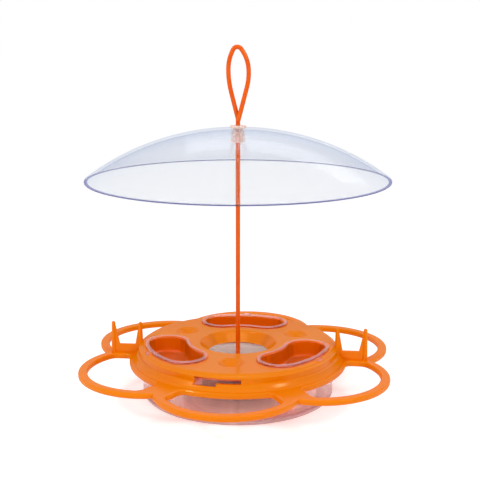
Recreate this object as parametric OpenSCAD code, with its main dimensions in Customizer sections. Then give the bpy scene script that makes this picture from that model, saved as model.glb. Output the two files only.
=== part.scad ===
// Hanging oriole feeder: a clear nectar basin, a one-piece orange cover with three jelly wells,
// nectar ports, perch loops and fruit spikes, a bent hanging wire and a clear weather dome.
// The part stands on the flat base of the basin. Front is towards -Y, up is +Z, sizes in millimetres.

/* [Basin] */
// Outer radius of the clear basin wall
basin_r = 68; // [66:0.5:84]
// Height of the basin wall, floor included
basin_h = 33.2; // [28:0.2:42]
// Wall thickness of the basin
basin_wall = 1.8; // [1.4:0.1:2.6]
// Floor thickness of the basin
basin_floor = 2.0; // [1.6:0.1:3]
// Radius of the rounded corner between wall and floor, outside
basin_corner_r = 3.2; // [2.2:0.1:5]
// Inner radius of the ant moat tube in the middle of the basin
moat_r = 24.3; // [21:0.1:25]
// Wall thickness of the moat tube
moat_wall = 1.6; // [1.2:0.1:2.4]
// Radius of the boss that holds the hanging wire
boss_r = 5.5; // [4:0.1:8]
// Height of that boss above the floor
boss_h = 12; // [8:0.5:18]

/* [Twist lock] */
// How far each lug stands out of the basin wall
lug_reach = 2.4; // [1.8:0.1:3.2]
// Length of a lug as an angle round the basin
lug_angle = 10.6; // [8:0.2:14]
// Height of a lug
lug_h = 3.0; // [2:0.1:3.6]
// Free height above and below a lug in its window
lug_play = 0.3; // [0.2:0.05:0.6]
// Angle from the front to the closed end of the front window
window_end = 7.6; // [4:0.2:14]
// Angle that a lug can turn in the low part of its window
window_play = 2.4; // [1:0.1:4]
// Height of the ledge that carries a lug
ledge_h = 1.2; // [0.9:0.1:1.8]
// Width of the slanted guide rib beside each lug
ramp_w = 1.5; // [1:0.1:2.4]

/* [Cover] */
// Wall thickness of the moulded cover
cover_t = 1.8; // [1.4:0.1:2.2]
// Radial gap between the basin wall and the cover's ledge and seal rib
cover_gap = 0.4; // [0.3:0.05:0.8]
// Height of the cover's deck above the basin rim
deck_rise = 3.2; // [2.6:0.1:5]
// Extra height of the deck at the central hole
deck_crown = 0.5; // [0:0.1:1.2]
// Radius of the central hole at its lip
lip_r = 26.2; // [25:0.2:29]
// Rounding of that lip
lip_round = 2.2; // [1.4:0.1:3]
// Depth of the funnel inside the lip
funnel_h = 7.6; // [5:0.2:10]
// Width of the rounded shoulder between the deck and the rim wall
shoulder_w = 4.6; // [3:0.2:7]
// Height of the drop over that shoulder
shoulder_drop = 2.0; // [1:0.1:2.6]
// How far the lower bead stands out of the rim wall
bead_reach = 1.7; // [0.8:0.1:2.6]
// How far the skirt stands out past the basin wall
skirt_out = 9.3; // [8.4:0.1:14]

/* [Perches] */
// How far the perch loops reach past the skirt
perch_out = 38.3; // [32:0.1:50]
// Outer radius of a loop as a share of the loops' whole reach
loop_share = 0.428; // [0.41:0.002:0.45]
// Width of the perch bar seen from above
bar_w = 6.4; // [5:0.1:8]
// Height of the perch bar
bar_h = 4.2; // [3:0.1:5.4]
// Rounding of the bar's long edges
bar_round = 1.5; // [0.6:0.1:1.9]
// Height of the perch bars' underside above the table
perch_z = 22; // [16:0.2:25]
// Half width of a plain arm between two loops
arm_half = 10.5; // [7:0.1:13]
// Half width of an arm that carries spikes
spike_arm_half = 4.4; // [3.6:0.1:8]
// Radius of the fillets where an arm meets a loop
arm_fillet = 7; // [4:0.2:9]
// Radius of the fillets where an arm meets the skirt
root_fillet = 3.5; // [2:0.1:5]

/* [Fruit spikes] */
// Distance between the two spikes of a pair
spike_gap = 19.7; // [16:0.1:22]
// Height of the spike tips above the table
spike_top = 49; // [40:0.5:60]
// Width of a spike at its tip
spike_tip_w = 2.6; // [1.8:0.1:3.6]
// Width of a spike at its foot
spike_foot_w = 3.8; // [2.8:0.1:5]
// Top of the web between two spikes
web_top = 32.4; // [29:0.2:38]
// Thickness of that web
web_t = 1.6; // [1.2:0.1:2.4]

/* [Jelly dishes] */
// Width of the deck between the lip of the central hole and a dish
dish_inset = 7.8; // [5:0.1:14]
// Half of the angle between the centres of a dish's two round ends
dish_angle = 19.4; // [14:0.2:23]
// Depth of a dish under its rim
dish_depth = 10.4; // [8:0.2:14]
// Wall thickness of a dish
dish_t = 1.2; // [0.9:0.1:1.6]
// Height of the dish rim
dish_rim_h = 1.9; // [1.2:0.1:2.6]
// How far the rim overhangs the dish wall
dish_lip = 1.8; // [1:0.1:2.4]
// Gap between a dish and its well
dish_gap = 0.3; // [0.2:0.05:0.6]
// Length of the finger tab
tab_reach = 3.4; // [2:0.1:5]
// Width of the finger tab
tab_w = 6.4; // [4:0.2:9]

/* [Nectar ports] */
// Distance from the centre line to a port
port_line_r = 46.2; // [44:0.2:48]
// Radius of the dimple of a port
port_r = 8.2; // [7:0.1:9]
// Depth of the dimple
port_depth = 4.6; // [3.6:0.1:5.4]
// Radius of the feeding hole
port_hole_r = 1.6; // [1.2:0.1:2.2]

/* [Hanging wire] */
// Radius of the coated wire
wire_r = 1.55; // [1.3:0.05:2]
// Height of the wire's first bend above the dome's hub
loop_clear = 5.4; // [4:0.2:30]
// Height of the hanging loop above that bend
loop_h = 50.6; // [41:0.2:75]

/* [Weather dome] */
// Outer radius of the dome
dome_r = 105; // [95:1:120]
// Height of the dome's rim above the table
dome_rim_z = 155; // [140:1:175]
// Rise from the rim to the flat hub
dome_rise = 34; // [24:1:46]
// Radius of the profile arc of the dome
dome_arc_r = 175; // [140:1:240]
// Thickness of the dome
dome_t = 2; // [1.6:0.1:2.6]
// Radius of the flat hub
hub_r = 8; // [7:0.5:11]
// Radius of the grommet's neck
neck_r = 3.4; // [3:0.1:4.2]
// Radius of the grommet's flange
flange_r = 5.9; // [5.4:0.1:7]
// Thickness of the flange
flange_t = 1.8; // [1.2:0.1:2.4]
// Length of the bell under the dome
bell_h = 7.4; // [5:0.2:11]
// Radius of the bell at its mouth
bell_r = 5.1; // [4.9:0.1:5.4]

/* [Hidden] */
$fn = 96;

// Running clearance of turning and sliding fits
fit = 0.05;
// Gap between faces that rest on each other's edge
seat = 0.3;
// How far a cut runs past a face
over = 1;
// Steps in a quarter of a small rounding
steps = 5;
// Lugs, wells and ports repeat this often
sets = 3;
loops = 6;

wall_out = basin_r + lug_reach + 0.2;
wall_in = wall_out - 1.5;
ledge_in = basin_r + cover_gap;
rim_z = basin_h + seat;
deck_z = basin_h + deck_rise;
deck_out = wall_out - shoulder_w;
deck_low = deck_z - cover_t;
funnel_low = deck_z + deck_crown - funnel_h;
ridge_z = deck_z - shoulder_drop;
window_top = rim_z;
lug_z = window_top - lug_play - lug_h;
window_low = lug_z - lug_play;
ledge_low = window_low - ledge_h;
window_hold = lug_angle + window_play;
seal_out = basin_r - basin_wall - seat;
seal_in = seal_out - 1.5;
seal_low = rim_z - 2.6;
bead_x = wall_out + bead_reach;

skirt_r = basin_r + skirt_out;
perch_reach = skirt_r + perch_out;
perch_arc_r = perch_reach * loop_share;
perch_c = perch_reach - perch_arc_r;
bar_in = perch_arc_r - bar_w;
bar_top = perch_z + bar_h;
skirt_foot = (bead_x + skirt_r) / 2;
spike_in = wall_out;
spike_out = spike_in + spike_gap;

// A dish fills the room between the deck's inner ring and the basin wall
cup_t = cover_t - 0.4;
cup_out = basin_r - basin_wall - seat;
dish_half_w = (cup_out - cup_t - dish_gap + dish_lip - lip_r - dish_inset) / 2;
dish_wall_w = dish_half_w - dish_lip;
well_w = dish_wall_w + dish_gap;
cup_w = well_w + cup_t;
dish_line_r = cup_out - cup_w;
seat_z = deck_z - 0.1;
dish_low = seat_z - dish_depth;

dome_top = dome_rim_z + dome_rise;
grommet_low = dome_top - dome_t - bell_h;
wire_low = basin_floor + seat;
wire_bend_z = dome_top + loop_clear;

// Points of an arc about (x, y), from angle a to angle b
function arc(x, y, r, a, b, n = steps) =
    [for (i = [0:n]) [x + r * cos(a + (b - a) * i / n), y + r * sin(a + (b - a) * i / n)]];

// Points of an arc about a point c, with angles counted from the outward direction towards +X
function sweep(c, r, a, b, n) =
    [for (i = [0:n]) [c[0] + r * sin(a + (b - a) * i / n), c[1] + r * cos(a + (b - a) * i / n)]];

// Centres of the two fillets beside an arm of the given half width: at the loop's bar and at the skirt
function bar_fillet(half) =
    let (across = half + arm_fillet,
         out = perch_c * cos(30) + sqrt(pow(bar_in - arm_fillet, 2) - pow(across - perch_c / 2, 2)))
    [out * sin(30) - across * cos(30), out * cos(30) + across * sin(30)];
function skirt_fillet(half) =
    let (across = half + root_fillet,
         out = sqrt(pow(skirt_r + root_fillet, 2) - pow(across, 2)))
    [out * sin(30) - across * cos(30), out * cos(30) + across * sin(30)];

// Right half of a loop's opening, from its outermost point to its innermost, grown by d
function half_opening(half, d) =
    let (f = bar_fillet(half), g = skirt_fillet(half),
         a = atan2(f[0], f[1] - perch_c), b = atan2(g[0], g[1]))
    concat(sweep([0, perch_c], bar_in + d, 0, a, 9),
           sweep(f, arm_fillet + d, a + (120 - a) / 5, 120, 4),
           sweep(g, root_fillet + d, 120, 180 + b, 4),
           sweep([0, 0], skirt_r - d, b - b / 5, 0, 4));

// The whole outline of an opening, as seen from above at the front
function opening(right, left, d) =
    let (r = half_opening(right, d), l = half_opening(left, d), n = len(r))
    concat([for (i = [0:n - 1]) [r[i][0], -r[i][1]]],
           [for (i = [n - 2:-1:1]) [-l[i][0], -l[i][1]]]);

// Turns a child to the azimuth a, counted from the front towards +X
module at_azimuth(a) {
    rotate([0, 0, a]) children();
}

// A pie-shaped block from azimuth a to azimuth b, between two heights
module pie(a, b, r, low, high) {
    translate([0, 0, low])
        rotate([0, 0, a - 90])
            rotate_extrude(angle = b - a)
                square([r, high - low]);
}

// A ring wall between two radii and two heights
module ring(r_in, r_out, low, high) {
    translate([0, 0, low])
        difference() {
            cylinder(r = r_out, h = high - low);
            translate([0, 0, -over])
                cylinder(r = r_in, h = high - low + 2 * over);
        }
}

// A kidney-shaped solid at the front: the half section is swept along an arc and turned round at both ends
module kidney(half) {
    cap = [for (p = half) p[0] > 0 ? [p[0] + 0.02, p[1]] : p];
    rotate([0, 0, -dish_angle - 90])
        rotate_extrude(angle = 2 * dish_angle)
            translate([dish_line_r, 0])
                polygon(concat(half, [for (i = [len(half) - 1:-1:0])
                                          if (half[i][0] > 0) [-half[i][0], half[i][1]]]));
    for (side = [-1, 1])
        at_azimuth(side * dish_angle)
            translate([0, -dish_line_r, 0])
                rotate_extrude() polygon(cap);
}

// The basin's wall, floor, moat tube and wire boss as one turned shape
module basin_shell() {
    wall_in_r = basin_r - basin_wall;
    inner_corner = basin_corner_r - 1;
    rotate_extrude() {
        difference() {
            polygon(concat(
                [[0, 0]],
                arc(basin_r - basin_corner_r, basin_corner_r, basin_corner_r, -90, 0),
                arc(basin_r - 0.5, basin_h - 0.5, 0.5, 0, 90, 2),
                arc(wall_in_r + 0.5, basin_h - 0.5, 0.5, 90, 180, 2),
                arc(wall_in_r - inner_corner, basin_floor + inner_corner, inner_corner, 0, -90),
                [[0, basin_floor]]));
            square([wire_r + fit, basin_floor + boss_h + over]);
        }
        translate([moat_r, basin_floor / 2])
            square([moat_wall, funnel_low + 1.2 - basin_floor / 2]);
        polygon([[wire_r + fit, 0], [boss_r, 0], [boss_r, basin_floor],
                 [boss_r - 1, basin_floor + boss_h], [wire_r + fit, basin_floor + boss_h]]);
    }
    cylinder(r = boss_r, h = basin_floor);
}

// One lug with the slanted guide rib beside it
module lug(end) {
    start = end - lug_angle;
    ramp_angle = 8.2;
    ramp_start = start - ramp_angle - 1;
    ramp_end = basin_r * sin(ramp_angle);
    skin = basin_r - basin_wall / 2;
    intersection() {
        ring(skin, basin_r + lug_reach, lug_z, lug_z + lug_h);
        pie(start, end, basin_r + lug_reach + over, lug_z, lug_z + lug_h);
    }
    intersection() {
        ring(skin, wall_in - seat, lug_z, lug_z + lug_h);
        at_azimuth(ramp_start)
            rotate([90, 0, 0])
                linear_extrude(basin_r + lug_reach)
                    polygon([[0, lug_z + lug_h - ramp_w], [0, lug_z + lug_h], [ramp_w, lug_z + lug_h],
                             [ramp_end, lug_z + ramp_w], [ramp_end, lug_z], [ramp_end - ramp_w, lug_z]]);
    }
}

module basin() {
    color([0.96, 0.88, 0.87, 0.45]) {
        basin_shell();
        for (i = [0:sets - 1])
            at_azimuth(i * 360 / sets) lug(window_end - 0.4);
    }
}

// The turned body of the cover: funnel, deck, shoulder, rim wall, bead, skirt and seal rib
module cover_shell() {
    funnel_r = moat_r - 2.8;
    lip_x = lip_r + lip_round;
    lip_z = deck_z + deck_crown - lip_round;
    slope = (lip_x + lip_round * cos(155) - funnel_r) / (lip_z + lip_round * sin(155) - funnel_low);
    rotate_extrude()
        polygon(concat(
            [[funnel_r, funnel_low]],
            arc(lip_x, lip_z, lip_round, 155, 90),
            [[deck_out - 2, deck_z]],
            arc(deck_out, deck_z - shoulder_w * 0.9, shoulder_w * 0.9, 90, 38),
            arc(wall_out - 0.6, ridge_z - 0.6, 0.6, 50, 0, 2),
            [[wall_out, window_low + 0.7]],
            arc(bead_x - 0.6, window_low - 0.5, 0.6, 70, 0, 3),
            [[(bead_x + skirt_foot) / 2 - 0.3, (window_low + bar_top) / 2 - 0.4],
             [skirt_foot + 0.15, bar_top - 0.15],
             [skirt_foot + 0.3, bar_top - 0.9],
             [skirt_foot + 0.3, perch_z + bar_h / 2],
             [skirt_foot - 0.6, perch_z + bar_h / 2],
             [skirt_foot + 0.3 - cover_t, bar_top - 0.6],
             [wall_out + 0.7, ledge_low],
             [ledge_in, ledge_low],
             [ledge_in, window_low],
             [wall_in, window_low],
             [wall_in, rim_z],
             [seal_out, rim_z],
             [seal_out, seal_low],
             [seal_in, seal_low],
             [seal_in, deck_low],
             [funnel_r + 1.5 + (deck_low - funnel_low) * slope, deck_low],
             [funnel_r + 1.5, funnel_low]]));
}

// A round plate with rounded edges at the front: its rim is the outer edge of a perch loop
module loop_disc() {
    translate([0, -perch_c, perch_z])
        rotate_extrude()
            polygon(concat([[0, 0]],
                           arc(perch_arc_r - bar_round, bar_round, bar_round, -90, 0),
                           arc(perch_arc_r - bar_round, bar_h - bar_round, bar_round, 0, 90),
                           [[0, bar_h]]));
}

// Cutter for the opening inside a loop: it widens at both ends, which leaves rounded edges
module loop_opening(right, left) {
    levels = concat(
        [[perch_z - over, bar_round]],
        [for (a = [0:30:90]) [perch_z + bar_round * (1 - cos(a)), bar_round * (1 - sin(a))]],
        [for (a = [90:-22.5:0]) [bar_top - bar_round * (1 - cos(a)), bar_round * (1 - sin(a))]],
        [[bar_top + over, bar_round]]);
    outline = opening(right, left, 0);
    n = len(outline);
    m = len(levels);
    middle = -(skirt_r + perch_c + bar_in) / 2;
    points = concat(
        [for (l = levels) for (p = opening(right, left, l[1])) [p[0], p[1], l[0]]],
        [[0, middle, levels[0][0]], [0, middle, levels[m - 1][0]]]);
    walls = [for (j = [0:m - 2]) for (i = [0:n - 1])
        let (k = (i + 1) % n) [j * n + i, (j + 1) * n + i, (j + 1) * n + k, j * n + k]];
    ends = [for (i = [0:n - 1])
        let (k = (i + 1) % n) each [[m * n, i, k], [m * n + 1, (m - 1) * n + k, (m - 1) * n + i]]];
    polyhedron(points, concat(walls, ends), convexity = 4);
}

// The flat plate of perch loops and arms round the skirt
module perches() {
    difference() {
        union() {
            for (i = [0:loops - 1]) at_azimuth(i * 60) loop_disc();
        }
        translate([0, 0, perch_z - over])
            cylinder(r = skirt_foot - 1.1, h = bar_h + 2 * over);
        for (i = [0:loops - 1])
            at_azimuth(i * 60)
                loop_opening((i % 3 == 1) ? spike_arm_half : arm_half,
                             (i % 3 == 2) ? spike_arm_half : arm_half);
    }
}

// One tapered spike post with a rounded tip, on the front axis at radius r
module spike_post(r, foot) {
    tip = spike_tip_w / 2;
    translate([0, -r, 0])
        rotate_extrude()
            polygon(concat([[0, foot], [spike_foot_w / 2, foot]],
                           arc(0, spike_top - tip * sin(65), tip, 5, 65, 3), [[0, spike_top]]));
}

// Two spikes and the web between them, at the front
module spike_pair() {
    post_foot = bar_top - bar_round;
    shelf = spike_top - 3;
    spike_post(spike_out, post_foot);
    spike_post(spike_in, window_low);
    translate([web_t / 2, 0, 0])
        rotate([0, -90, 0])
            linear_extrude(web_t)
                polygon([[post_foot, -spike_out], [shelf, -spike_out],
                         [shelf, -spike_out + spike_tip_w / 2],
                         [web_top, -spike_out + spike_foot_w / 2 + 2.4],
                         [web_top, -spike_in - spike_foot_w / 2 - 2.0],
                         [shelf, -spike_in - spike_tip_w / 2],
                         [shelf, -spike_in], [post_foot, -spike_in]]);
}

// The cup under one kidney opening, closed at its floor
module well_cup() {
    low = dish_low - seat - cover_t + 0.2;
    kidney(concat([[0, low]], arc(cup_w - 2, low + 2, 2, -90, 0),
                  [[cup_w, deck_low + 0.4], [0, deck_low + 0.4]]));
}

// The room inside a well, with the shallow seat for the dish rim
module well_room() {
    low = dish_low - seat;
    top = deck_z + deck_crown + over;
    kidney(concat([[0, low]], arc(well_w - 1.4, low + 1.4, 1.4, -90, 0),
                  [[well_w, seat_z], [dish_half_w + dish_gap, seat_z],
                   [dish_half_w + dish_gap, top], [0, top]]));
}

// The bowl under one nectar port
module port_bowl() {
    low = deck_z - port_depth - cover_t + 0.2;
    translate([0, -port_line_r, 0])
        rotate_extrude()
            polygon([[0, low], [port_hole_r + 1.6, low], [port_r + 0.8, deck_low + 0.2],
                     [0, deck_low + 0.2]]);
}

// The dimple of one port, with a rounded edge, and its feeding hole
module port_room() {
    base = deck_z - port_depth;
    top = deck_z + deck_crown;
    translate([0, -port_line_r, 0]) {
        rotate_extrude()
            polygon(concat([[0, base], [port_hole_r + 0.4, base], [port_r - 1.3, deck_z - 1.1]],
                           arc(port_r + 1.2, deck_z - 2.4, 2.6, 148, 100, 4),
                           [[port_r + 1.2, top + over], [0, top + over]]));
        translate([0, 0, base - cover_t - over])
            cylinder(r = port_hole_r, h = port_depth + cover_t + over);
    }
}

// One window of the twist lock: a low part that holds the lug and a tall part that lets it in
module lock_window() {
    hold_start = window_end - window_hold;
    pie(hold_start - 1, window_end, wall_out + over, window_low + 0.1, window_top - 0.1);
    pie(hold_start - lug_angle - 2, hold_start, bead_x + over, ledge_low - 0.2, window_top + 0.25);
}

module cover() {
    color([0.95, 0.47, 0.07])
        difference() {
            union() {
                cover_shell();
                perches();
                for (side = [-1, 1])
                    at_azimuth(side * 90) spike_pair();
                for (i = [0:sets - 1]) {
                    at_azimuth(i * 120 + 60) well_cup();
                    at_azimuth(i * 120) port_bowl();
                }
            }
            for (i = [0:sets - 1]) {
                at_azimuth(i * 120 + 60) well_room();
                at_azimuth(i * 120) port_room();
                at_azimuth(i * 120)
                    difference() {
                        lock_window();
                        translate([0, 0, ledge_low - over])
                            cylinder(r = ledge_in - 0.2, h = deck_z);
                    }
            }
        }
}

// A clear kidney dish with a proud rim and a finger tab, at the front
module jelly_dish() {
    rim_top = seat_z + dish_rim_h;
    outer = concat(
        [[0, dish_low]],
        arc(dish_wall_w - 2.0, dish_low + 1.4, 1.4, -90, -10),
        [[dish_wall_w, seat_z], [dish_half_w, seat_z]],
        arc(dish_half_w - 0.7, rim_top - 0.7, 0.7, 0, 90, 3),
        [[0, rim_top]]);
    room_w = dish_wall_w - dish_t;
    inner = concat(
        [[0, dish_low + dish_t]],
        arc(room_w - 2.4, dish_low + dish_t + 1.8, 1.8, -90, -10),
        [[room_w, rim_top - 0.6], [room_w + 0.5, rim_top + over], [0, rim_top + over]]);
    tab_end = dish_line_r + dish_half_w + tab_reach;
    difference() {
        union() {
            kidney(outer);
            intersection() {
                translate([-tab_w / 2, -tab_end, seat_z])
                    cube([tab_w, tab_reach + 1.2, dish_rim_h * 0.7]);
                translate([0, -tab_end + tab_w * 0.55, 0])
                    cylinder(r = tab_w * 0.55, h = rim_top);
            }
        }
        kidney(inner);
    }
}

module jelly_dish_left() {
    color([0.93, 0.9, 0.97, 0.4]) at_azimuth(-180 / sets) jelly_dish();
}

module jelly_dish_right() {
    color([0.93, 0.9, 0.97, 0.4]) at_azimuth(180 / sets) jelly_dish();
}

module jelly_dish_back() {
    color([0.93, 0.9, 0.97, 0.4]) at_azimuth(180) jelly_dish();
}

// A straight length of wire along +Z, then whatever follows it
module straight(l) {
    translate([0, 0, 0.1]) cylinder(r = wire_r, h = l - 0.2);
    translate([0, 0, l]) {
        sphere(r = wire_r + 0.02);
        children();
    }
}

// A bend of the wire towards +X, of radius r and angle a, then whatever follows; a negative angle bends to -X
module bend(r, a) {
    flip = a < 0 ? 1 : 0;
    size = abs(a);
    trim = 0.1 / r * 180 / PI;
    mirror([flip, 0, 0])
        translate([r, 0, 0]) {
            rotate([90, 0, 0])
                rotate([0, 0, 180 - size + trim])
                    rotate_extrude(angle = size - 2 * trim)
                        translate([r, 0]) circle(r = wire_r);
            rotate([0, size, 0])
                translate([-r, 0, 0]) {
                    sphere(r = wire_r + 0.02);
                    mirror([flip, 0, 0]) children();
                }
        }
}

// The wire from its lower end in the boss to the free end of the hanging loop.
// The loop's bends are those of a loop 50.6 high, and all follow its height.
module hanger_wire() {
    s = loop_h / 50.6;
    color([0.93, 0.33, 0.05])
        translate([0, 0, wire_low]) {
            cylinder(r = wire_r, h = 1);
            straight(wire_bend_z - wire_low)
            bend(6 * s, -14.25)
            straight(18.2 * s)
            bend(60.5 * s, 14.65)
            bend(27.5 * s, 28)
            bend(3.2 * s, 113.8)
            bend(24.6 * s, 33.4)
            rotate([0, 0, -asin((2 * wire_r + 0.25) / (9.75 * s))])
            bend(36.4 * s, 19.6)
            straight(22.8 * s);
        }
}

// Soft stopper that grips the wire and holds the dome between its flange and its bell
module dome_grommet() {
    groove_low = dome_top - dome_t - fit;
    bore = wire_r + fit;
    color([0.98, 0.83, 0.72, 0.8])
        rotate_extrude()
            polygon(concat(
                [[bore, groove_low - 2.6]],
                [[bell_r - 1.1, grommet_low], [bell_r, grommet_low], [neck_r + 0.9, groove_low],
                 [neck_r, groove_low], [neck_r, dome_top + fit]],
                arc(flange_r - 0.5, dome_top + fit + 0.5, 0.5, -90, 0, 3),
                arc(flange_r - 0.9, dome_top + fit + flange_t - 0.9, 0.9, 0, 90, 4),
                [[bore, dome_top + fit + flange_t]]));
}

// The clear dome: a flat hub, then one arc down to a rounded edge
module weather_dome() {
    run = dome_r - hub_r;
    chord = sqrt(pow(run, 2) + pow(dome_rise, 2));
    drop = sqrt(pow(dome_arc_r, 2) - pow(chord / 2, 2));
    cx = (hub_r + dome_r) / 2 - dome_rise / chord * drop;
    cz = dome_rim_z + dome_rise / 2 - run / chord * drop;
    a_hub = atan2(dome_top - cz, hub_r - cx);
    a_rim = atan2(dome_rim_z - cz, dome_r - cx);
    edge = dome_t / 2;
    color([0.88, 0.9, 0.98, 0.25])
        rotate_extrude()
            polygon(concat(
                [[neck_r + fit, dome_top - dome_t], [neck_r + fit, dome_top]],
                arc(cx, cz, dome_arc_r, a_hub, a_rim, 36),
                arc(cx + (dome_arc_r - edge) * cos(a_rim), cz + (dome_arc_r - edge) * sin(a_rim),
                    edge, a_rim, a_rim - 180, 6),
                arc(cx, cz, dome_arc_r - dome_t, a_rim, a_hub, 36)));
}

basin();
cover();
jelly_dish_left();
jelly_dish_right();
jelly_dish_back();
hanger_wire();
dome_grommet();
weather_dome();
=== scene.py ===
import math
from collections import namedtuple

import bpy
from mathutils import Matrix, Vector


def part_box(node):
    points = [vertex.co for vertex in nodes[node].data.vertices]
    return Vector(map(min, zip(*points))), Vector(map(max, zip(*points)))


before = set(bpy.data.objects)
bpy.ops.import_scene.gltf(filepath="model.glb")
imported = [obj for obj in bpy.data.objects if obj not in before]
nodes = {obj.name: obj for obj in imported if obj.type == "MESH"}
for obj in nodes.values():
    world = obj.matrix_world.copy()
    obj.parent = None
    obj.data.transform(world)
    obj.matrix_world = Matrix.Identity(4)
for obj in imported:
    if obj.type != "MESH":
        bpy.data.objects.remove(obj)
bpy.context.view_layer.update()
scene = bpy.context.scene

# The picture is 480 pixels wide and high
PICTURE = 480
# Camera: distance and height in metres, turn round the object and tilt down in degrees
CAMERA_DISTANCE = 0.67867
CAMERA_HEIGHT = 0.25493
CAMERA_TURN = 6.0
CAMERA_TILT = 11.99
# Focal length and sideways shift, both in pixels of the picture
FOCAL_PIXELS = 992.1
SHIFT_PIXELS = 2.05
# Width of the sensor in millimetres, and the nearest and farthest that the camera sees in metres
SENSOR = 36.0
NEAREST_SEEN = 0.01
FARTHEST_SEEN = 20.0

# Lamps: place in metres, power in watts, width and height in metres
LAMPS = {
    "left_lamp": ((-0.75, -0.65, 0.75), 3.5, 0.2, 0.2),
    "right_lamp": ((0.85, -0.6, 0.7), 3.1, 0.2, 0.2),
    "top_strip": ((0.1, -0.55, 1.05), 2.2, 1.2, 0.08),
    "back_lamp": ((0.1, 0.9, 0.8), 1.0, 0.9, 0.3),
}
# All lamps are aimed at this place, in metres, just over the deck
LAMP_AIM = Vector((0, 0, 0.06))
# Brightness of the surroundings as light on the object, and as the camera and clear plastic see them
ROOM_LIGHT = 0.6
ROOM_SEEN = 1.0

# The floor: its width and its distance below the feeder in metres, and its darkest and lightest grey
FLOOR_SIZE = 8.0
FLOOR_DROP = 0.0004
FLOOR_GREY = (0.92, 0.94)
# Glow that whitens the floor as it is seen: under the feeder, around it, and what is added far off.
# The stronger glow under and around the feeder is painted light that lifts the feeder's shadow there, and
# it fades out towards the axis, so that the floor right under the middle keeps its shadow
UNDER_GLOW = 0.46
AROUND_GLOW = 0.28
FAR_GLOW = 0.17
# Distances from the axis in metres between which each glow sets in
UNDER_RADII = (0.02, 0.05)
AROUND_RADII = (0.09, 0.2)
FAR_RADII = (0.8, 1.7)

# Share of the light that the thin orange walls let through
THROUGH_SHARE = 0.27
# Refractive indices of the clear plastic and of the soft stopper
CLEAR_INDEX = 1.47
SOFT_INDEX = 1.2
# The shader's usual level of gloss
FULL_GLOSS = 0.5

# Ranges of a noise that are stretched to a wanted range: nearly all of it, or less for more contrast
WHOLE_NOISE = (0.3, 0.7)
MIDDLE_NOISE = (0.35, 0.65)

# A band of painted tone, pale for a highlight and dark for shade: lowest and highest height and inner
# radius in metres, and its highlight share, the share of the clear plastic that it turns pale as a painted
# highlight
Band = namedtuple("Band", "low high inside colour milky")
# A round middle in a painted shade of another tone, with its radius in metres
ShadedHub = namedtuple("ShadedHub", "radius colour")
# Distances in metres over which these tones fade, in height and in radius
FADE_HEIGHT = 0.0003
FADE_RADIUS = 0.001
# A band at the edge of a piece goes this far beyond the edge, in metres
BEYOND_EDGE = 0.001

# The radius of the basin's wall, and how wide the strip along it is that holds its two painted bands, in
# metres
BASIN_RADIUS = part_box("basin")[1][0]
STRIP_WIDTH = 0.012
# Heights of those bands in metres: the painted highlight round the bottom corner, and the mauve painted
# shade below it
HIGHLIGHT_BAND_LOW = 0.0008
HIGHLIGHT_BAND_HIGH = 0.0032
SHADE_BAND_HIGH = 0.0005
# Radius in metres of the painted grey shade in the middle of the basin, round the tube of the ant moat
MIDDLE_RADIUS = 0.0265
# Heights in metres of the painted highlight along a dish's brim and of the painted dark rim of the dome
BRIM_HEIGHT = 0.0001
RIM_HEIGHT = 0.0006

# Colours of the plastics, and of the light and shade painted on the clear ones, as picture values from 0 to
# 255
ORANGE = (245, 148, 0)
ORANGE_WARM = (244, 142, 0)
ORANGE_LIT = (255, 112, 2)
WIRE_RED = (228, 80, 0)
WIRE_WARM = (234, 94, 2)
GLOSS_WARM = (255, 205, 150)
# Painted shade: the dark line along the dome's rim
PAINTED_RIM_NAVY = (148, 149, 192)
# Painted shade at the silhouettes of the dishes
PAINTED_EDGE_VIOLET = (182, 176, 230)
CLOUD = (247, 248, 250)
# Painted shade, bluish grey, at the dome's silhouettes
PAINTED_EDGE_GREY = (230, 234, 242)
# A paler pink painted where the basin's walls turn away, which lightens its sides
PAINTED_EDGE_ROSE = (255, 246, 243)
# The soft stopper's own pink; as the basin's tint it is painted orange light from the cover
PINK = (255, 240, 236)
# Painted highlight round the basin's bottom corner
PAINTED_HIGHLIGHT_PINK = (255, 226, 224)
# Painted highlight along a dish's brim
PAINTED_HIGHLIGHT_WHITE = (255, 246, 246)
# Painted shade at the edge of the basin's underside
PAINTED_SHADE_MAUVE = (158, 130, 152)
# Painted grey shade in the middle of the basin, round the tube of the ant moat
PAINTED_SHADE_GREY = (216, 216, 213)
# A dish's pink tint, painted to deepen the red of the light in the orange wells under it
PAINTED_WELL_BLUSH = (255, 241, 246)
PEACH = (255, 222, 200)
WHITE = (255, 255, 255)


def srgb(colour):
    """A linear colour with alpha from picture values, by the curve of the sRGB standard."""

    def linear(c):
        c /= 255.0
        return c / 12.92 if c <= 0.04045 else ((c + 0.055) / 1.055) ** 2.4

    return tuple(linear(c) for c in colour) + (1.0,)


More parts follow.
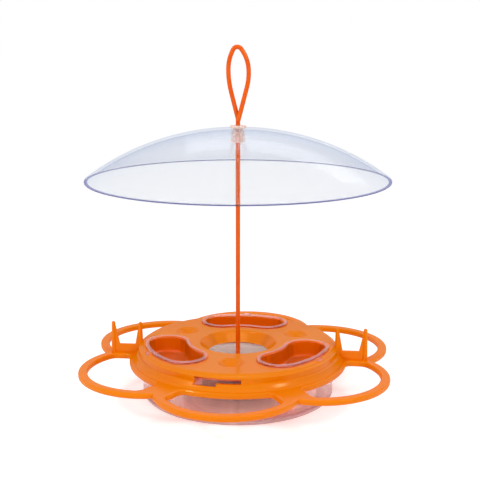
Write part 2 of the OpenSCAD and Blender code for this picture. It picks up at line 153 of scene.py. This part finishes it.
class Mat:
    """A node material with a Principled shader and a few shortcuts."""

    def __init__(self, name):
        self.mat = bpy.data.materials.new(name)
        self.mat.use_nodes = True
        self.tree = self.mat.node_tree
        self.nodes = self.tree.nodes
        self.shader = self.nodes["Principled BSDF"]
        self.out = self.nodes["Material Output"]
        self.coords = self.nodes.new("ShaderNodeTexCoord").outputs["Object"]
        self.parts = None

    def link(self, a, b):
        self.tree.links.new(a, b)

    def fill(self, socket, value):
        """Sets a socket to a number or colour, or links it to what varies over the surface."""
        if isinstance(value, (float, int, tuple)):
            socket.default_value = value
        else:
            self.link(value, socket)

    def set(self, **values):
        """Fills the shader's own sockets, which are named with low lines for their spaces."""
        for key, value in values.items():
            self.fill(self.shader.inputs[key.replace("_", " ")], value)

    def show(self, shader):
        self.link(shader, self.out.inputs["Surface"])

    def node(self, kind, **settings):
        n = self.nodes.new(kind)
        for key, value in settings.items():
            setattr(n, key, value)
        return n

    def along(self, axis):
        """The place along an axis in metres, with 0 for X, 1 for Y and 2 for Z."""
        if self.parts is None:
            self.parts = self.node("ShaderNodeSeparateXYZ")
            self.link(self.coords, self.parts.inputs[0])
        return self.parts.outputs[axis]

    def noise(self, scale, detail, stretch=(1.0, 1.0, 1.0)):
        place = self.node("ShaderNodeMapping")
        place.inputs["Scale"].default_value = stretch
        self.link(self.coords, place.inputs["Vector"])
        n = self.node("ShaderNodeTexNoise")
        n.inputs["Scale"].default_value = scale
        n.inputs["Detail"].default_value = detail
        self.link(place.outputs["Vector"], n.inputs["Vector"])
        return n.outputs["Fac"]

    def remap(self, value, source, target=(0.0, 1.0)):
        """A value with its range stretched from source to target, and held at the ends."""
        n = self.node("ShaderNodeMapRange")
        for key, end in zip(("From Min", "From Max", "To Min", "To Max"), (*source, *target)):
            n.inputs[key].default_value = end
        self.link(value, n.inputs["Value"])
        return n.outputs["Result"]

    def mix(self, share, a, b):
        n = self.node("ShaderNodeMix", data_type="RGBA")
        for socket, value in ((n.inputs[0], share), (n.inputs[6], a), (n.inputs[7], b)):
            self.fill(socket, value)
        return n.outputs[2]

    def math(self, operation, a, b=0.0):
        n = self.node("ShaderNodeMath", operation=operation)
        self.fill(n.inputs[0], a)
        self.fill(n.inputs[1], b)
        return n.outputs[0]

    def blend(self, share, a, b):
        n = self.node("ShaderNodeMixShader")
        self.fill(n.inputs[0], share)
        self.link(a, n.inputs[1])
        self.link(b, n.inputs[2])
        return n.outputs[0]

    def see_through(self, colour):
        """A shader that lets rays pass straight on, tinted by a colour."""
        n = self.node("ShaderNodeBsdfTransparent")
        self.fill(n.inputs["Color"], colour)
        return n.outputs[0]

    def bump(self, height, strength, distance):
        n = self.node("ShaderNodeBump")
        n.inputs["Strength"].default_value = strength
        n.inputs["Distance"].default_value = distance
        self.link(height, n.inputs["Height"])
        self.set(Normal=n.outputs["Normal"])

    def clouds(self, one, other, scale, detail, contrast):
        """A colour that drifts between two colours."""
        return self.mix(self.remap(self.noise(scale, detail), contrast), srgb(one), srgb(other))

    def facing(self):
        """0 where the surface faces the viewer and 1 at its silhouette, for gloss and the painted tint of
        edges.
        """
        n = self.node("ShaderNodeLayerWeight")
        n.inputs["Blend"].default_value = 0.5
        return n.outputs["Facing"]

    def fading_gloss(self, start, end, weakest):
        """The usual level of gloss, which falls to the weakest between two values of facing."""
        return self.remap(self.facing(), (start, end), (FULL_GLOSS, weakest))

    def radius(self):
        """Distance from the upright axis in metres."""
        squares = [self.math("MULTIPLY", self.along(axis), self.along(axis)) for axis in (0, 1)]
        return self.math("SQRT", self.math("ADD", *squares))

    def within_heights(self, low, high):
        """1 between two heights, and 0 well below and above them."""
        above = self.remap(self.along(2), (low - FADE_HEIGHT, low))
        below = self.remap(self.along(2), (high, high + FADE_HEIGHT), (1.0, 0.0))
        return self.math("MULTIPLY", above, below)

    def beyond_radius(self, inside, target=(0.0, 1.0)):
        """The first value of target up to a radius, and the second outside it."""
        return self.remap(self.radius(), (inside, inside + FADE_RADIUS), target)

    def give(self, *names):
        for name in names:
            data = nodes[name].data
            data.materials.clear()
            data.materials.append(self.mat)


def orange_plastic():
    """Moulded orange plastic: satin gloss, faint clouds in the colour and a very fine grain."""
    m = Mat("orange_plastic")
    m.set(
        Base_Color=m.clouds(ORANGE, ORANGE_WARM, scale=26.0, detail=4.0, contrast=MIDDLE_NOISE),
        Roughness=m.remap(m.noise(scale=70.0, detail=5.0), WHOLE_NOISE, (0.16, 0.24)),
        Specular_IOR_Level=m.fading_gloss(start=0.4, end=0.74, weakest=0.02),
        Specular_Tint=srgb(GLOSS_WARM),
    )
    m.bump(m.noise(scale=900.0, detail=2.0), strength=0.1, distance=0.0001)
    through = m.node("ShaderNodeBsdfTranslucent")
    through.inputs["Color"].default_value = srgb(ORANGE_LIT)
    m.show(m.blend(THROUGH_SHARE, m.shader.outputs[0], through.outputs[0]))
    return m


def clear_plastic(name, tint, edge, edge_power, straight, bands, shaded_hub=None):
    """Clear moulded plastic: a share of it is seen straight through, and the rest bends light.

    The tint turns into the edge's colour where the surface turns away, and a high edge_power keeps that
    colour to the silhouette. That edge colour is painted: darker edges on the dome and dishes, paler sides
    on the basin. The bands and the round middle paint highlights and shade. Lamps and soft light reach what
    lies behind the plastic.
    """
    m = Mat(name)
    # Painted edge tone: the tint turns into the edge colour towards the silhouette
    tone = m.mix(m.math("POWER", m.facing(), edge_power), srgb(tint), srgb(edge))
    # Painted grey shade in the middle, where one is given
    if shaded_hub is not None:
        tone = m.mix(m.beyond_radius(shaded_hub.radius, (1.0, 0.0)), tone, srgb(shaded_hub.colour))
    clear = 1.0
    # The bands paint light and shade: pale ones are painted highlights that also take a share of the
    # clearness, dark ones painted shade
    for band in bands:
        here = m.math("MULTIPLY", m.within_heights(band.low, band.high), m.beyond_radius(band.inside))
        tone = m.mix(here, tone, srgb(band.colour))
        if band.milky > 0.0:
            clear = m.math("SUBTRACT", clear, m.math("MULTIPLY", here, band.milky))
    flow = m.noise(scale=18.0, detail=3.0)
    m.set(
        Base_Color=tone,
        Transmission_Weight=clear,
        Roughness=m.remap(flow, WHOLE_NOISE, (0.015, 0.045)),
        IOR=CLEAR_INDEX,
    )
    m.bump(flow, strength=0.06, distance=0.0004)
    share = clear * straight if isinstance(clear, float) else m.math("MULTIPLY", clear, straight)
    seen = m.blend(share, m.shader.outputs[0], m.see_through(tone))
    path = m.node("ShaderNodeLightPath")
    light = m.math("MAXIMUM", path.outputs["Is Shadow Ray"], path.outputs["Is Diffuse Ray"])
    m.show(m.blend(light, seen, m.see_through(srgb(tint))))
    return m


def coated_wire():
    """Steel wire in a thick glossy red-orange coating."""
    m = Mat("coated_wire")
    m.set(
        Base_Color=m.clouds(WIRE_RED, WIRE_WARM, scale=80.0, detail=3.0, contrast=MIDDLE_NOISE),
        Roughness=m.remap(m.noise(scale=160.0, detail=3.0), WHOLE_NOISE, (0.16, 0.26)),
        Specular_IOR_Level=m.fading_gloss(start=0.3, end=0.9, weakest=0.04),
        Specular_Tint=srgb(GLOSS_WARM),
    )
    m.bump(m.noise(scale=420.0, detail=2.0, stretch=(1.0, 1.0, 0.3)), strength=0.12, distance=0.0001)
    return m


def soft_grommet():
    """Soft translucent stopper."""
    m = Mat("soft_grommet")
    m.set(
        Base_Color=m.clouds(PEACH, PINK, scale=120.0, detail=3.0, contrast=WHOLE_NOISE),
        Roughness=m.remap(m.noise(scale=200.0, detail=2.0), WHOLE_NOISE, (0.2, 0.35)),
        IOR=SOFT_INDEX,
        Transmission_Weight=0.4,
        Specular_IOR_Level=0.3,
    )
    m.bump(m.noise(scale=700.0, detail=2.0), strength=0.1, distance=0.0001)
    return m


def clear_basin():
    """The basin's pink is painted orange light; it has a painted highlight and shade at its foot and grey
    shade in its middle.
    """
    strip = BASIN_RADIUS - STRIP_WIDTH
    foot = Band(HIGHLIGHT_BAND_LOW, HIGHLIGHT_BAND_HIGH, strip, PAINTED_HIGHLIGHT_PINK, milky=0.5)
    under = Band(-BEYOND_EDGE, SHADE_BAND_HIGH, strip, PAINTED_SHADE_MAUVE, milky=0.0)
    middle = ShadedHub(MIDDLE_RADIUS, PAINTED_SHADE_GREY)
    return clear_plastic("clear_basin", PINK, PAINTED_EDGE_ROSE, 4.0, straight=0.5, bands=(foot, under), shaded_hub=middle)


def clear_dish():
    """A dish has a pink tint painted to redden the wells seen through it, painted violet shade at its edges
    and a painted highlight on its brim.
    """
    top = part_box("jelly_dish_back")[1][2]
    brim = Band(top - BRIM_HEIGHT, top + BEYOND_EDGE, 0.0, PAINTED_HIGHLIGHT_WHITE, milky=0.3)
    return clear_plastic("clear_dish", PAINTED_WELL_BLUSH, PAINTED_EDGE_VIOLET, 5.0, straight=0.7, bands=(brim,))


def clear_dome():
    """The dome is nearly without colour, with painted bluish shade at its silhouettes and a darker painted
    shade along its rim.
    """
    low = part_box("weather_dome")[0][2]
    rim = Band(low - BEYOND_EDGE, low + RIM_HEIGHT, 0.0, PAINTED_RIM_NAVY, milky=0.0)
    return clear_plastic("clear_dome", CLOUD, PAINTED_EDGE_GREY, 4.0, straight=0.9, bands=(rim,))


def dress():
    """Gives each piece its material."""
    orange_plastic().give("cover")
    clear_basin().give("basin")
    clear_dish().give(*[name for name in nodes if name.startswith("jelly_dish")])
    clear_dome().give("weather_dome")
    coated_wire().give("hanger_wire")
    soft_grommet().give("dome_grommet")


def seen_rays(tree):
    """1 for rays that show the surroundings: from the camera, in gloss and through clear plastic."""
    path = tree.nodes.new("ShaderNodeLightPath")
    value = path.outputs["Is Camera Ray"]
    for name in ("Is Transmission Ray", "Is Glossy Ray"):
        both = tree.nodes.new("ShaderNodeMath")
        both.operation = "MAXIMUM"
        tree.links.new(value, both.inputs[0])
        tree.links.new(path.outputs[name], both.inputs[1])
        value = both.outputs[0]
    return value


def floor():
    """A pale floor that glows a little as it is seen, so that it is nearly white and keeps its shadows,
    which painted light near the feeder makes fainter.
    """
    bpy.ops.mesh.primitive_plane_add(size=FLOOR_SIZE, location=(0, 0, -FLOOR_DROP))
    plane = bpy.context.object
    plane.name = "floor"
    m = Mat("floor")
    tone = m.remap(m.noise(scale=3.0, detail=4.0), WHOLE_NOISE, FLOOR_GREY)
    m.set(Base_Color=tone, Roughness=0.9, Specular_IOR_Level=0.0)
    out = m.radius()
    # Painted light: more glow under and around the feeder lightens its shadow, and none right under the
    # middle
    under = m.remap(out, UNDER_RADII, (0.0, UNDER_GLOW))
    around = m.remap(out, AROUND_RADII, (0.0, AROUND_GLOW - UNDER_GLOW))
    far = m.remap(out, FAR_RADII, (0.0, FAR_GLOW))
    whole = m.math("ADD", under, m.math("ADD", around, far))
    glow = m.node("ShaderNodeEmission")
    m.link(m.math("MULTIPLY", seen_rays(m.tree), whole), glow.inputs["Strength"])
    both = m.node("ShaderNodeAddShader")
    m.link(m.shader.outputs[0], both.inputs[0])
    m.link(glow.outputs[0], both.inputs[1])
    m.show(both.outputs[0])
    plane.data.materials.append(m.mat)


def surroundings():
    """A white room that lights the object less than it shows."""
    world = bpy.data.worlds.new("studio")
    scene.world = world
    world.use_nodes = True
    tree = world.node_tree
    level = tree.nodes.new("ShaderNodeMapRange")
    level.inputs["To Min"].default_value = ROOM_LIGHT
    level.inputs["To Max"].default_value = ROOM_SEEN
    tree.links.new(seen_rays(tree), level.inputs["Value"])
    sky = tree.nodes["Background"]
    sky.inputs["Color"].default_value = srgb(WHITE)
    tree.links.new(level.outputs[0], sky.inputs["Strength"])


def softbox(name, place, power, width, height):
    """A rectangular lamp at a place in metres, aimed at the feeder."""
    data = bpy.data.lights.new(name, "AREA")
    data.shape = "RECTANGLE"
    data.size = width
    data.size_y = height
    data.energy = power
    lamp = bpy.data.objects.new(name, data)
    scene.collection.objects.link(lamp)
    lamp.location = place
    lamp.rotation_mode = "QUATERNION"
    lamp.rotation_quaternion = (LAMP_AIM - Vector(place)).to_track_quat("-Z", "Y")


def camera():
    """A camera that looks down on the feeder from the front, a little from the right."""
    data = bpy.data.cameras.new("camera")
    cam = bpy.data.objects.new("camera", data)
    scene.collection.objects.link(cam)
    turn = math.radians(CAMERA_TURN)
    cam.location = (CAMERA_DISTANCE * math.sin(turn), -CAMERA_DISTANCE * math.cos(turn), CAMERA_HEIGHT)
    cam.rotation_euler = (math.radians(90 - CAMERA_TILT), 0, turn)
    data.sensor_width = SENSOR
    data.lens = FOCAL_PIXELS / PICTURE * SENSOR
    data.shift_x = SHIFT_PIXELS / PICTURE
    data.clip_start = NEAREST_SEEN
    data.clip_end = FARTHEST_SEEN
    scene.camera = cam


dress()
floor()
surroundings()
for lamp_name, (place, power, width, height) in LAMPS.items():
    softbox(lamp_name, place, power, width, height)
camera()
scene.view_settings.view_transform = "Standard"
